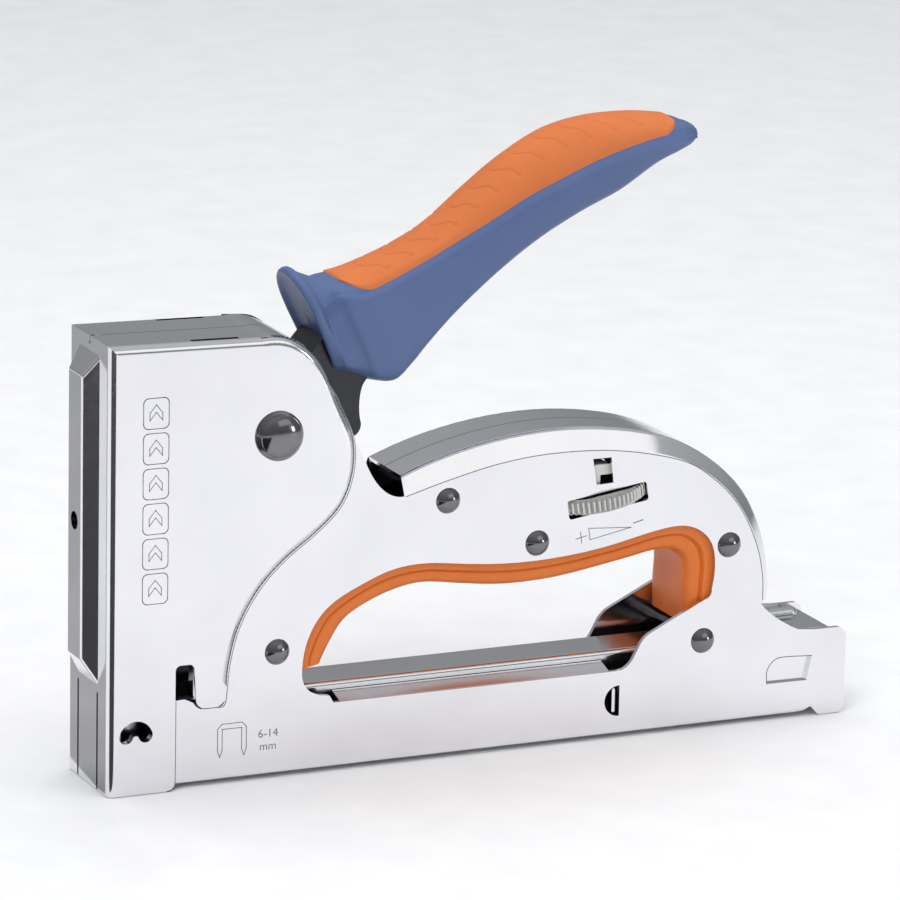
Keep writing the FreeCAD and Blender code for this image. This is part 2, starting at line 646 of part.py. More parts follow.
# ---- build --------------------------------------------------------------
def build():
    os.makedirs("parts", exist_ok=True)
    plate = left_plate()
    put("left_side_plate", plate)
    put("right_side_plate", mirrored(plate))
    put("head_cover", head_cover())
    put("grip_liner", grip_liner())
    put("magazine_channel", magazine_channel())
    put("nose_guide", nose_guide())
    put("plunger_guide_left", plunger_guide(-1))
    put("plunger_guide_right", plunger_guide(1))
    put("recoil_buffer", recoil_buffer())
    put("lever_pivot_rivet", pivot_rivet())
    put("pivot_bush", tube(PIVOT, 4.4, 3.0, 5.3))
    for name, p in SMALL_RIVETS.items():
        put(name, rivet(p, 1.8 if name != "rivet_tail" else 1.75, 3.2, 2.0, PLATE_HALF))
    put("spacer_front", tube(SMALL_RIVETS["rivet_front"], 2.8, 1.8, 11.15))
    put("spacer_fulcrum", tube(SMALL_RIVETS["rivet_fulcrum"], 2.6, 1.8, 11.15))
    main = [(4.9, 52.4), (30.0, 54.6), (62.0, 57.4), (87.3, 61.0), (110.0, 66.5), (128.8, 70.75), (134.0, 71.8)]
    second = [(34.0, 53.4), (62.0, 55.8), (87.3, 59.4), (110.0, 64.9), (117.0, 66.5)]
    put("power_spring_main_leaf", leaf(main, 1.5, 4.6, (15.0, 3.0)))
    put("power_spring_second_leaf", leaf(second, 1.4, 4.6))
    put("lever_return_spring", return_spring())
    put("latch_bracket", latch_bracket())
    put("catch_pin", catch_pin())
    put("latch_spring", coil(2.1, 0.25, 1.1, 5, V(165.9, 0, BUTTON_Z), V(1, 0, 0)))
    put("lever_frame", lever_frame())
    sleeve, pad = handle_pieces()
    put("handle_sleeve", sleeve)
    put("grip_pad", pad)
    put("lever_nose_pin", across(nose_pin_place(), 1.5, -7.4, 7.4))
    put("sleeve_pin", across((96.0, 121.0), 1.6, -10.2, 10.2))
    put("plunger_block", plunger_block())
    put("driver_blade", driver_blade())
    put("blade_rivets", blade_rivets())
    put("adjuster_wheel", adjuster_wheel())
    put("adjuster_screw", adjuster_screw())
    put("spring_saddle", spring_saddle())
    put("staple_rail", staple_rail())
    put("drawer_end_cap", drawer_end_cap())
    put("pusher_rod", along(5.2, 192.7, 1.25, 0, ROD_Z))
    put("pusher_spring", coil(2.5, 0.4, 6.0, 27, V(20.8, 0, ROD_Z), V(1, 0, 0)))
    put("staple_pusher", staple_pusher())
    put("latch_button", latch_button())
    put("latch_catch", latch_catch())


build()
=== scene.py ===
import json
import math

import bmesh
import bpy
import numpy as np
from mathutils import Matrix, Vector


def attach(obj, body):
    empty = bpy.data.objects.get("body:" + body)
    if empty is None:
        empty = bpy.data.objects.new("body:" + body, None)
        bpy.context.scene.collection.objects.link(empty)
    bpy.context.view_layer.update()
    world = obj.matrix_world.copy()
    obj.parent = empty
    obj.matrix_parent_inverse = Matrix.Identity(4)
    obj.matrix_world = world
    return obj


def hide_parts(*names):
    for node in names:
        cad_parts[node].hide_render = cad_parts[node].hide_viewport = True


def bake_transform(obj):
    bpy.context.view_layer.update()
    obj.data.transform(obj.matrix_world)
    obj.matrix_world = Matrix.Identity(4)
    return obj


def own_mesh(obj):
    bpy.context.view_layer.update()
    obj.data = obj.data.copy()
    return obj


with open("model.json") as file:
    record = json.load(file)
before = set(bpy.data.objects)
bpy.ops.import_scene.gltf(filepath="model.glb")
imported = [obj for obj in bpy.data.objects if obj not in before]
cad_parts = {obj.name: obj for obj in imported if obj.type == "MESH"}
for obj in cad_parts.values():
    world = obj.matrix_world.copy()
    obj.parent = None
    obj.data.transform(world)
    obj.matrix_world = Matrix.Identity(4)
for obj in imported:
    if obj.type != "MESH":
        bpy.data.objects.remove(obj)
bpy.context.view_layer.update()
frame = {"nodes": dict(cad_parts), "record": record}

MM = 0.001
X_CENTRE = 96.55          # nose face to the row frame's origin, as in the CAD source
COVER_Y = 13.5            # side face of the head cover
PLATE_Y = 12.4            # outer face of a side plate
SIDES = (-1, 1)


def at(x, y, z):
    """A point given from the nose face in millimetres, in the row frame in metres."""
    return Vector(((x - X_CENTRE) * MM, y * MM, z * MM))


# ---- curves and meshes --------------------------------------------------
SAME_POINT = 1e-7         # metres


def run_length(points):
    """Distance along a polyline at each of its points."""
    return np.concatenate([[0], np.cumsum(np.linalg.norm(np.diff(points, axis=0), axis=1))])


def read_off(want, given, table):
    """Rows of a table at the wanted places along it."""
    return np.stack([np.interp(want, given, column) for column in table.T], axis=1)


def resample(points, count):
    """Evenly spaced points along a polyline."""
    p = np.array(points, float)
    run = run_length(p)
    return read_off(np.linspace(0, run[-1], count), run, p)


def moving_mean(values, span):
    """Running mean over an odd span, with the ends held."""
    return np.convolve(np.pad(values, span // 2, mode="edge"), np.ones(span) / span, mode="valid")


def smooth_path(points, count):
    """Even samples along a Catmull-Rom curve through the points."""
    steps = 24
    p = np.array(points, float)
    p = np.vstack([2 * p[0] - p[1], p, 2 * p[-1] - p[-2]])
    fine = []
    for i in range(1, len(p) - 2):
        a, b, c, d = p[i - 1:i + 3]
        for t in np.linspace(0, 1, steps, endpoint=False):
            fine.append(0.5 * (2 * b + (c - a) * t + (2 * a - 5 * b + 4 * c - d) * t * t
                               + (3 * b - a - 3 * c + d) * t ** 3))
    fine.append(p[-2])
    return resample(fine, count)


def corner_cut(points, rounds=2):
    """Chaikin rounding of an open polyline; its ends stay."""
    p = [np.array(q, float) for q in points]
    for _ in range(rounds):
        out = [p[0]]
        for a, b in zip(p[:-1], p[1:]):
            out += [0.75 * a + 0.25 * b, 0.25 * a + 0.75 * b]
        out.append(p[-1])
        p = out
    return np.array(p)


def new_object(name, verts, faces, material, sharp=35.0):
    """Mesh object with smooth faces and sharp edges past the given angle."""
    mesh = bpy.data.meshes.new(name)
    mesh.from_pydata([tuple(v) for v in verts], [], faces)
    work = bmesh.new()
    work.from_mesh(mesh)
    bmesh.ops.remove_doubles(work, verts=work.verts, dist=SAME_POINT)
    bmesh.ops.recalc_face_normals(work, faces=work.faces)
    for f in work.faces:
        f.smooth = True
    for e in work.edges:
        e.smooth = len(e.link_faces) == 2 and e.calc_face_angle(0) < math.radians(sharp)
    work.to_mesh(mesh)
    work.free()
    mesh.materials.append(material)
    obj = bpy.data.objects.new(name, mesh)
    bpy.context.scene.collection.objects.link(obj)
    return obj


def loft(rings, cap_ends=True):
    """Vertices and faces of a skin over equal closed rings of points."""
    n = len(rings[0])
    verts = [tuple(p) for ring in rings for p in ring]
    faces = []
    for i in range(len(rings) - 1):
        for j in range(n):
            k = (j + 1) % n
            faces.append((i * n + j, i * n + k, (i + 1) * n + k, (i + 1) * n + j))
    if cap_ends:
        faces.append(tuple(range(n))[::-1])
        faces.append(tuple(range((len(rings) - 1) * n, len(rings) * n)))
    return verts, faces


# ---- materials ----------------------------------------------------------
def node_material(name):
    """Empty material with a shader, and its object coordinates."""
    m = bpy.data.materials.new(name)
    m.use_nodes = True
    tree = m.node_tree
    tree.nodes.clear()
    out = tree.nodes.new("ShaderNodeOutputMaterial")
    shader = tree.nodes.new("ShaderNodeBsdfPrincipled")
    tree.links.new(shader.outputs["BSDF"], out.inputs["Surface"])
    place = tree.nodes.new("ShaderNodeTexCoord")
    return m, tree, shader, place.outputs["Object"]


def stretched(tree, source, scale):
    """Coordinates scaled by axis."""
    mapping = tree.nodes.new("ShaderNodeMapping")
    mapping.inputs["Scale"].default_value = scale
    tree.links.new(source, mapping.inputs["Vector"])
    return mapping.outputs["Vector"]


def noise(tree, source, scale, detail=3.0, rough=0.5):
    """Cloud pattern, with its scale in cells per metre."""
    n = tree.nodes.new("ShaderNodeTexNoise")
    n.inputs["Scale"].default_value = scale
    n.inputs["Detail"].default_value = detail
    n.inputs["Roughness"].default_value = rough
    tree.links.new(source, n.inputs["Vector"])
    return n.outputs["Fac"]


def ramp(tree, source, stops):
    """Colours at places between 0 and 1."""
    r = tree.nodes.new("ShaderNodeValToRGB")
    for element, (place, colour) in zip(r.color_ramp.elements, (stops[0], stops[-1])):
        element.position, element.color = place, (*colour, 1)
    for place, colour in stops[1:-1]:
        r.color_ramp.elements.new(place).color = (*colour, 1)
    tree.links.new(source, r.inputs["Fac"])
    return r.outputs["Color"]


def spread(tree, source, low, high):
    """Noise value mapped to a range."""
    m = tree.nodes.new("ShaderNodeMapRange")
    m.inputs["From Min"].default_value = 0.3
    m.inputs["From Max"].default_value = 0.7
    m.inputs["To Min"].default_value = low
    m.inputs["To Max"].default_value = high
    tree.links.new(source, m.inputs["Value"])
    return m.outputs["Result"]


def bump(tree, shader, heights):
    """Adds up bumps: (source, strength, distance in metres)."""
    normal = None
    for source, strength, distance in heights:
        b = tree.nodes.new("ShaderNodeBump")
        b.inputs["Strength"].default_value = strength
        b.inputs["Distance"].default_value = distance
        tree.links.new(source, b.inputs["Height"])
        if normal:
            tree.links.new(normal, b.inputs["Normal"])
        normal = b.outputs["Normal"]
    tree.links.new(normal, shader.inputs["Normal"])


def metal(name, dark, light, rough_low, rough_high, swell=0.0, grain=0.02, stretch=(1, 1, 1)):
    """Plated or bare metal with cloudy polish, fine grain and a slight roll to its surface."""
    m, tree, shader, place = node_material(name)
    shader.inputs["Metallic"].default_value = 1.0
    clouds = noise(tree, place, 38.0, 4.0, 0.55)
    fine = noise(tree, stretched(tree, place, stretch), 900.0, 3.0, 0.6)
    tree.links.new(ramp(tree, clouds, [(0.3, dark), (0.7, light)]), shader.inputs["Base Color"])
    tree.links.new(spread(tree, fine, rough_low, rough_high), shader.inputs["Roughness"])
    roll = noise(tree, place, 22.0, 1.0, 0.4)
    bump(tree, shader, [(fine, grain, 0.00003), (roll, swell, 0.0006)])
    return m


def plastic(name, dark, light, rough_low, rough_high, grain=0.25, grain_scale=2600.0):
    """Moulded plastic or rubber with a fine spark-eroded grain."""
    m, tree, shader, place = node_material(name)
    clouds = noise(tree, place, 55.0, 3.0, 0.6)
    fine = noise(tree, place, grain_scale, 2.0, 0.6)
    tree.links.new(ramp(tree, clouds, [(0.32, dark), (0.68, light)]), shader.inputs["Base Color"])
    tree.links.new(spread(tree, fine, rough_low, rough_high), shader.inputs["Roughness"])
    shader.inputs["IOR"].default_value = 1.48
    bump(tree, shader, [(fine, grain, 0.00006), (clouds, 0.08, 0.0003)])
    return m


# Darkest and lightest colour, roughness range, then swell, grain and its stretch by axis.
METALS = {
    "bright_plate": ((0.78, 0.78, 0.81), (0.84, 0.84, 0.87), 0.09, 0.16, 0.03),
    "channel_steel": ((0.66, 0.67, 0.69), (0.74, 0.75, 0.77), 0.12, 0.20, 0.03),
    "black_steel": ((0.045, 0.046, 0.050), (0.060, 0.061, 0.066), 0.30, 0.42, 0.02),
    "plain_steel": ((0.50, 0.50, 0.51), (0.62, 0.62, 0.63), 0.22, 0.34, 0.02, 0.05, (1, 1, 12)),
    "spring_steel": ((0.20, 0.21, 0.25), (0.30, 0.31, 0.35), 0.22, 0.34),
    "rivet_steel": ((0.17, 0.17, 0.18), (0.22, 0.22, 0.23), 0.10, 0.18, 0.02, 0.03),
    "wheel_steel": ((0.50, 0.50, 0.49), (0.62, 0.62, 0.60), 0.14, 0.24),
    # Dark steel for the printed signs, and also for the painted shade lines at the cover, pocket and arch
    # edges.
    "engraving_and_painted_shade": ((0.20, 0.20, 0.22), (0.27, 0.27, 0.29), 0.35, 0.50),
}
# Darkest and lightest colour, roughness range, then grain and its fineness.
PLASTICS = {
    "blue_plastic": ((0.074, 0.118, 0.262), (0.083, 0.130, 0.282), 0.36, 0.46, 0.18),
    "orange_rubber": ((0.60, 0.158, 0.040), (0.66, 0.176, 0.046), 0.50, 0.62, 0.30, 1900.0),
    "orange_plastic": ((0.70, 0.165, 0.018), (0.76, 0.185, 0.022), 0.34, 0.44, 0.15),
    "buffer_rubber": ((0.028, 0.028, 0.030), (0.040, 0.040, 0.042), 0.55, 0.70),
    "guide_plastic": ((0.040, 0.040, 0.043), (0.055, 0.055, 0.058), 0.42, 0.55),
    "indicator": ((0.70, 0.69, 0.65), (0.78, 0.77, 0.73), 0.35, 0.45),
}
MAT = {name: metal(name, *look) for name, look in METALS.items()}
MAT.update({name: plastic(name, *look) for name, look in PLASTICS.items()})


def dress_cad():
    """Every CAD node gets its slot's material."""
    slots = {s["node"]: s["material_slot"] for s in frame["record"]["subparts"]}
    for name, obj in frame["nodes"].items():
        obj.data.materials.clear()
        obj.data.materials.append(MAT[slots[name]])


# ---- handle -------------------------------------------------------------
# Across the handle: top point, bottom point, half width.
HANDLE = [
    ((57.6, 118.6), (68.8, 94.2), 11.0),
    ((65.0, 120.3), (75.0, 93.5), 11.0),
    ((71.5, 122.4), (79.2, 96.8), 10.6),
    ((78.6, 125.2), (83.8, 101.9), 10.3),
    ((87.0, 129.8), (91.0, 109.2), 10.3),
    ((95.4, 137.0), (101.6, 118.2), 10.8),
    ((104.6, 144.0), (112.0, 125.6), 11.4),
    ((115.7, 150.3), (122.6, 131.4), 11.8),
    ((126.7, 153.0), (132.8, 136.0), 11.6),
    ((138.2, 153.4), (142.2, 141.8), 10.8),
    ((146.4, 152.6), (148.8, 144.6), 9.8),
    ((150.6, 151.8), (152.2, 146.0), 8.6),
    ((153.2, 150.6), (154.2, 147.1), 6.6),
]
PAD_EDGE = [(60.6, 117.6), (63.8, 116.3), (69.0, 117.4), (80.0, 122.0), (90.7, 127.4), (101.0, 132.9),
            (108.0, 136.9), (116.5, 140.7), (127.2, 145.0), (138.2, 148.0), (147.2, 149.6), (151.8, 150.4)]
PAD_START, PAD_END = 0.030, 0.955           # shares of the handle's length
PAD_HALF = 0.84                             # share of the half width under the pad
PAD_LIFT = 0.45                             # the pad's height over the crown, mm
PAD_BULGE = 0.012                           # the pad's extra width for each mm of height
SKIRT_DEPTH, SKIRT_WIDTH = 0.9, 0.95        # the pad's buried edge: mm under the crown, share of the pad
RIDGE_DROP = 2.3                            # the side ridge below the pad's edge, mm
BOTTOM_N, BEVEL_N, CROWN_N = 34, 7, 34      # points along each stretch of a half section

# The finger guard leans in line with the disc of the CAD sleeve.
GUARD_TILT = math.radians(65.5)
GUARD_CENTRE = np.array([53.9, 112.4])
# Its dished front, its rim, and the valley behind it: setback, half widths at the middle and the foot,
# height of the top, height of the foot.
GUARD = [
    (0.1, 1.5, 1.0, -1.0, -6.0), (0.0, 5.0, 4.0, 4.6, -10.5), (-0.3, 7.6, 6.0, 7.4, -13.4),
    (-0.85, 8.7, 7.0, 8.6, -14.8), (-1.15, 9.3, 7.5, 9.25, -15.6), (-1.1, 9.85, 7.9, 9.8, -16.0),
    (-0.6, 10.25, 8.2, 10.2, -16.3), (0.1, 10.35, 8.5, 10.3, -16.6), (0.8, 10.2, 8.9, 10.15, -16.9),
    (1.2, 9.8, 9.2, 9.7, -17.1), (1.5, 9.2, 9.4, 9.0, -17.3), (2.3, 8.7, 9.6, 7.9, -17.6),
]
TIP_RINGS = ((0.7, 0.86), (1.15, 0.62), (1.35, 0.30))       # distance past the last section, size


def crossing(top, bottom, curve):
    """Height share (-1 bottom, 1 top) where the pad edge crosses a section."""
    mid, up = (top + bottom) / 2, (top - bottom) / 2
    n = np.array([up[1], -up[0]]) / np.linalg.norm(up)
    side = (curve - mid) @ n
    for i in range(len(side) - 1):
        if side[i] <= 0 < side[i + 1]:
            f = side[i] / (side[i] - side[i + 1])
            p = curve[i] + (curve[i + 1] - curve[i]) * f
            return float((p - mid) @ up / (up @ up))
    return None


def handle_stations(count):
    """Evenly spaced sections of the handle, and where the pad's edge cuts each one."""
    raw = np.array([[*a, *b, w] for a, b, w in HANDLE])
    rows = smooth_path(raw, count)
    curve = smooth_path(PAD_EDGE, 200)
    cut = [crossing(r[0:2], r[2:4], curve) for r in rows]
    known = [i for i, c in enumerate(cut) if c is not None]
    cut = np.interp(range(count), known, [cut[i] for i in known])
    return rows, moving_mean(cut, 7)


def section_axes(row):
    """Middle of a section, the vector from there to its top, and its half width."""
    top, bottom = row[0:2], row[2:4]
    return (top + bottom) / 2, (top - bottom) / 2, row[4]


def crown_height(y, pad):
    """Height share of the crown at a width share, above the pad's edge."""
    return pad + (1 - pad) * (1 - np.clip(np.abs(y) / PAD_HALF, 0, 1) ** 2.1) ** 0.62


def half_section(pad, ridge_drop):
    """Half outline (y share, height share) from the bottom to the top."""
    ridge = pad - ridge_drop
    low = corner_cut([(0, -1), (0.55, -1.0), (0.90, -0.86), (1.0, -0.45), (1.0, ridge - 0.14),
                      (0.995, ridge)], 3)
    bevel = corner_cut([(0.995, ridge), (0.97, ridge + 0.10), (PAD_HALF, pad)], 2)
    y = np.linspace(PAD_HALF, 0, 60)
    crown = np.stack([y, crown_height(y, pad)], axis=1)
    return np.vstack([resample(low, BOTTOM_N)[:-1], resample(bevel, BEVEL_N)[:-1], resample(crown, CROWN_N)])


def on_section(mid, up, share, y):
    """Point of a handle section at a height share and a distance to the side, in the row frame."""
    return at(mid[0] + up[0] * share, y, mid[1] + up[1] * share)


def whole_ring(half, mid, up, width):
    """Closed ring in the row frame from a half outline."""
    full = [(y, u) for y, u in half] + [(-y, u) for y, u in half[-2:0:-1]]
    return [on_section(mid, up, u, width * y) for y, u in full]


def guard_half(y_mid, y_low, top, low):
    """Half outline in millimetres, with as many points as a half section: round top, narrower foot."""
    a = np.radians(np.linspace(90, 0, 24))
    arch = [(y_mid * math.cos(t), (top - y_mid) + y_mid * math.sin(t)) for t in a]
    foot = [(y_mid, -3.0), (y_low + 0.5, low + 4.0), (y_low, low + 1.8), (y_low - 2.0, low), (0, low)]
    outline = np.array(arch + foot)[::-1]
    run = run_length(outline)
    bevel, crown = 0.60, 0.70
    want = np.concatenate([np.linspace(0, bevel, BOTTOM_N)[:-1], np.linspace(bevel, crown, BEVEL_N)[:-1],
                           np.linspace(crown, 1.0, CROWN_N)])
    return read_off(want, run / run[-1], outline)


def build_sleeve():
    """Hard sleeve of the handle in one skin, from the finger guard to the rounded tip."""
    rows, cut = handle_stations(150)
    normal = np.array([math.sin(GUARD_TILT), math.cos(GUARD_TILT)])
    slope = np.array([-math.cos(GUARD_TILT), math.sin(GUARD_TILT)])
    rings = [whole_ring(guard_half(*outline), GUARD_CENTRE + normal * back, slope, 1.0)
             for back, *outline in GUARD]
    for i, row in enumerate(rows):
        mid, up, width = section_axes(row)
        shrink = 1 - 0.10 * max(0.0, 1 - i / 3.0) ** 1.5
        half = half_section(cut[i], RIDGE_DROP / np.linalg.norm(up))
        rings.append(whole_ring(half, mid, up, width * shrink))
    mid, up, width = section_axes(rows[-1])
    out = np.array([up[1], -up[0]]) / np.linalg.norm(up)
    for shift, size in TIP_RINGS:
        rings.append(whole_ring(half_section(cut[-1], 0.3), mid + out * shift, up * size, width * size))
    verts, faces = loft(rings)
    sleeve = new_object("handle_sleeve_skin", verts, faces, MAT["blue_plastic"], 50)
    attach(sleeve, "lever")
    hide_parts("handle_sleeve")
    return rows, cut


GROOVES, GROOVE_START, GROOVE_STEP = 14, 6.4, 6.75          # start and step along the pad, mm
GROOVE_DEPTH, DOT_DEPTH = 0.30, 0.42                        # mm
DOT_PLACE = 0.76                                            # share of the pad's half width


def groove_depth(along, y):
    """Depth of the grip's S-shaped grooves at a distance along the pad (mm) and across it (share)."""
    share = abs(y) / PAD_HALF
    if share > 0.9:
        return 0.0
    bend = 4.6 / (1 + math.exp(-(share - 0.42) * 11))
    place = (along - GROOVE_START - bend) / GROOVE_STEP
    k = round(place)
    if not 0 <= k < GROOVES:
        return 0.0
    off = (place - k) * GROOVE_STEP
    fade = min(1.0, max(0.0, (share - 0.04) / 0.10)) * min(1.0, max(0.0, (DOT_PLACE - share) / 0.05))
    line = GROOVE_DEPTH * math.exp(-(off / 0.30) ** 2) * fade
    dot = DOT_DEPTH * math.exp(-(((off - 0.5) / 0.8) ** 2 + ((share - DOT_PLACE) / 0.035) ** 2))
    return max(line, dot)


def build_pad(rows, cut):
    """Soft pad on the handle's crown, with its grooves, over a shallow buried skirt."""
    count, across = 460, 121
    share = np.linspace(0, 1, len(rows))
    want = np.linspace(PAD_START, PAD_END, count)
    row = read_off(want, share, rows)
    pad = np.interp(want, share, cut)
    mids = (row[:, 0:2] + row[:, 2:4]) / 2
    run = run_length((row[:, 0:2] * 2 + mids) / 3)
    rings = []
    for i in range(count):
        mid, up, width = section_axes(row[i])
        tall = np.linalg.norm(up)
        front, rear = run[i], run[-1] - run[i]
        reach = min(round_in(front, 6.5), round_in(rear, 5.0))
        ring = []
        for y in np.linspace(-1, 1, across):
            yy = y * PAD_HALF * reach
            lift = PAD_LIFT * min(1.0, (1 - abs(y)) / 0.04) * min(1.0, front / 0.6) * min(1.0, rear / 0.6)
            h = crown_height(yy, pad[i])
            d = (lift - groove_depth(front, yy)) / tall
            ring.append(on_section(mid, up, h + d, width * yy * (1 + PAD_BULGE * lift)))
        for y in (1, -1):
            yy = y * PAD_HALF * reach
            h = crown_height(yy * 0.97, pad[i]) - SKIRT_DEPTH / tall
            ring.append(on_section(mid, up, h, width * yy * SKIRT_WIDTH))
        rings.append(ring)
    verts, faces = loft(rings)
    obj = new_object("grip_pad_skin", verts, faces, MAT["orange_rubber"], 60)
    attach(obj, "lever")
    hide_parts("grip_pad")


def round_in(distance, radius):
    """Width share of the pad near its rounded end."""
    if distance >= radius:
        return 1.0
    f = 1 - distance / radius
    return 0.35 + 0.65 * math.sqrt(max(0.0, 1 - f ** 2.4))


# ---- grip liner ---------------------------------------------------------
GRIP_EDGE = [(49.9, 25.6), (50.3, 30.0), (52.3, 35.8), (55.6, 40.3), (64.5, 45.6), (72.5, 48.6),
             (81.5, 49.5), (91.0, 48.5), (103.0, 47.4), (117.0, 47.6), (133.0, 49.7), (145.5, 52.2),
             (152.8, 51.9), (158.2, 47.7), (159.6, 42.0), (159.2, 35.5), (159.2, 26.0)]
LINER_EDGE = [(56.4, 26.6), (58.6, 30.8), (62.2, 36.2), (67.0, 39.3), (74.5, 42.2), (82.6, 43.5),
              (92.5, 42.2), (104.0, 40.9), (118.0, 41.3), (135.0, 43.9), (146.0, 45.7),
              (151.3, 44.3), (152.9, 40.0), (152.6, 33.0), (152.9, 26.0)]


# Half profile of the lining: share of the way from the plate's edge to the finger side, half width.
LINER_PROFILE = [(-0.2, 11.05), (0.22, 11.05), (0.33, 10.95), (0.36, 10.5), (0.37, 10.0), (0.41, 9.95),
                 (0.46, 10.3), (0.60, 10.3), (0.84, 9.8), (0.98, 8.4), (1.0, 6.0), (1.0, 3.0)]
LINER_STEPS, LINER_SEARCH_STEPS, LINER_SEARCH = 260, 900, 130


def nearest_along(outer, inner):
    """For each outer point, the closest inner point at about the same share of the way, evened out."""
    scale = (len(inner) - 1) / (len(outer) - 1)
    pairs = []
    for i, p in enumerate(outer):
        centre = int(i * scale)
        part = inner[max(0, centre - LINER_SEARCH):min(len(inner), centre + LINER_SEARCH)]
        pairs.append(part[np.argmin(np.linalg.norm(part - p, axis=1))])
    return np.stack([moving_mean(column, 9) for column in np.array(pairs).T], axis=1)


def build_liner():
    """Finger-side lining: a flat lip next to the plate, a step, then a rounded inner face."""
    outer = smooth_path(GRIP_EDGE, LINER_STEPS)
    inner = nearest_along(outer, smooth_path(LINER_EDGE, LINER_SEARCH_STEPS))
    half = list(corner_cut(LINER_PROFILE, 2))
    profile = half + [(1.0, 0.0)] + [(share, -y) for share, y in half[::-1]]
    rings = []
    for o, n in zip(outer, inner):
        spots = [(o + (n - o) * share, y) for share, y in profile]
        rings.append([at(p[0], y, p[1]) for p, y in spots])
    verts, faces = loft(rings)
    obj = new_object("grip_liner_skin", verts, faces, MAT["orange_plastic"], 40)
    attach(obj, "housing")
    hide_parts("grip_liner")


# ---- engraved marks and painted shade lines -----------------------------
def ribbon(points, width, closed=False):
    """Flat line of a given width over side-plane points, as quads."""
    p = np.array(points, float)
    if closed:
        p = np.vstack([p, p[:1]])
    quads = []
    for a, b in zip(p[:-1], p[1:]):
        d = (b - a) / max(1e-9, np.linalg.norm(b - a))
        n = np.array([-d[1], d[0]]) * width / 2
        e = d * width / 2
        quads.append([a - e + n, b + e + n, b + e - n, a - e - n])
    return quads


def dark_line_marks(name, quads, face_y):
    """Thin dark marks that sit a hair above a side face, on both sides of the tool: printed signs, and
    painted shade and shadow lines at edges and gaps.
    """
    for side in SIDES:
        verts, faces = [], []
        for q in quads:
            b = len(verts)
            for layer in (-0.02, 0.012):
                verts += [at(x, side * (face_y + layer), z) for x, z in q]
            faces += [(b, b + 1, b + 2, b + 3), (b + 7, b + 6, b + 5, b + 4)]
            faces += [(b + i, b + 4 + i, b + 4 + (i + 1) % 4, b + (i + 1) % 4) for i in range(4)]
        obj = new_object(name + side_label(side), verts, faces, MAT["engraving_and_painted_shade"], 20)
        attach(obj, "housing")


def side_label(side):
    """Name ending for a side; the photographed one is the left."""
    return "_left" if side < 0 else "_right"


def rounded_loop(x0, x1, z0, z1, r, steps=6):
    """Closed rectangle with round corners."""
    loop = []
    corners = ((x1 - r, z1 - r, 0), (x0 + r, z1 - r, 90), (x0 + r, z0 + r, 180), (x1 - r, z0 + r, 270))
    for cx, cz, a0 in corners:
        for k in range(steps + 1):
            a = math.radians(a0 + 90 * k / steps)
            loop.append((cx + r * math.cos(a), cz + r * math.sin(a)))
    return loop


def coil_object(name, start, length, radius, wire, turns):
    """Open coil of round wire along X."""
    steps, ring = turns * 22, 8
    rings = []
    for i in range(steps + 1):
        t = i / steps
        a = 2 * math.pi * turns * t
        c = Vector((start[0] + length * t, start[1] + radius * math.cos(a), start[2] + radius * math.sin(a)))
        out = Vector((0, math.cos(a), math.sin(a)))
        rings.append([at(*(c + out * (wire * math.cos(b)) + Vector((1, 0, 0)) * (wire * math.sin(b))))
                      for b in np.linspace(0, 2 * math.pi, ring, endpoint=False)])
    verts, faces = loft(rings)
    obj = new_object(name, verts, faces, MAT["spring_steel"], 60)
    return obj


PIVOT_X, PIVOT_Z = 42.7, 84.7


def build_pivot_rivet():
    """Lever pivot turned in one piece: stepped domed heads on a shank."""
    segments = 56
    dome_y, dome_tall, dome_radius = 14.5, 2.5, 5.45
    head = [(dome_y + dome_tall, 0.0)]
    for t in np.radians(np.linspace(8, 84, 12)):
        head.append((dome_y + dome_tall * math.cos(t), dome_radius * math.sin(t)))
    head += [(14.45, 5.5), (14.30, 5.62), (14.25, 5.85), (14.05, 6.0), (13.55, 6.0), (13.5, 5.9), (13.5, 3.0)]
    profile = head + [(-y, r) for y, r in head[::-1]]
    rings = [[at(PIVOT_X + r * math.cos(a), y, PIVOT_Z + r * math.sin(a))
              for a in np.linspace(0, 2 * math.pi, segments, endpoint=False)] for y, r in profile]
    verts, faces = loft(rings, cap_ends=False)
    obj = new_object("pivot_rivet_turned", verts, faces, MAT["rivet_steel"], 50)
    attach(obj, "housing")
    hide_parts("lever_pivot_rivet")


def build_springs():
    """Coil springs as wire meshes attached to their bodies, and world-space copies of the leaf springs in
    place of the CAD nodes.
    """
    pusher = coil_object("pusher_spring_coil", (20.8, 0, 9.0), 161.6, 2.5, 0.4, 27)
    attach(pusher, "drawer")
    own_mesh(pusher)
    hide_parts("pusher_spring")
    latch = coil_object("latch_spring_coil", (165.9, 0, 23.2), 5.6, 2.1, 0.25, 5)
    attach(latch, "housing")
    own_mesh(latch)
    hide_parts("latch_spring")
    for name in ("power_spring_main_leaf", "power_spring_second_leaf"):
        node = frame["nodes"][name]
        leaf = bpy.data.objects.new(name + "_bending", node.data.copy())
        leaf.matrix_world = node.matrix_world
        bpy.context.scene.collection.objects.link(leaf)
        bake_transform(leaf)
        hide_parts(name)


GAP_SHADOW_WIDTH, EDGE_SHADE_WIDTH = 0.34, 0.20          # widths of the painted shadow line beside the cover, and of the painted shade line on the cover's own edge
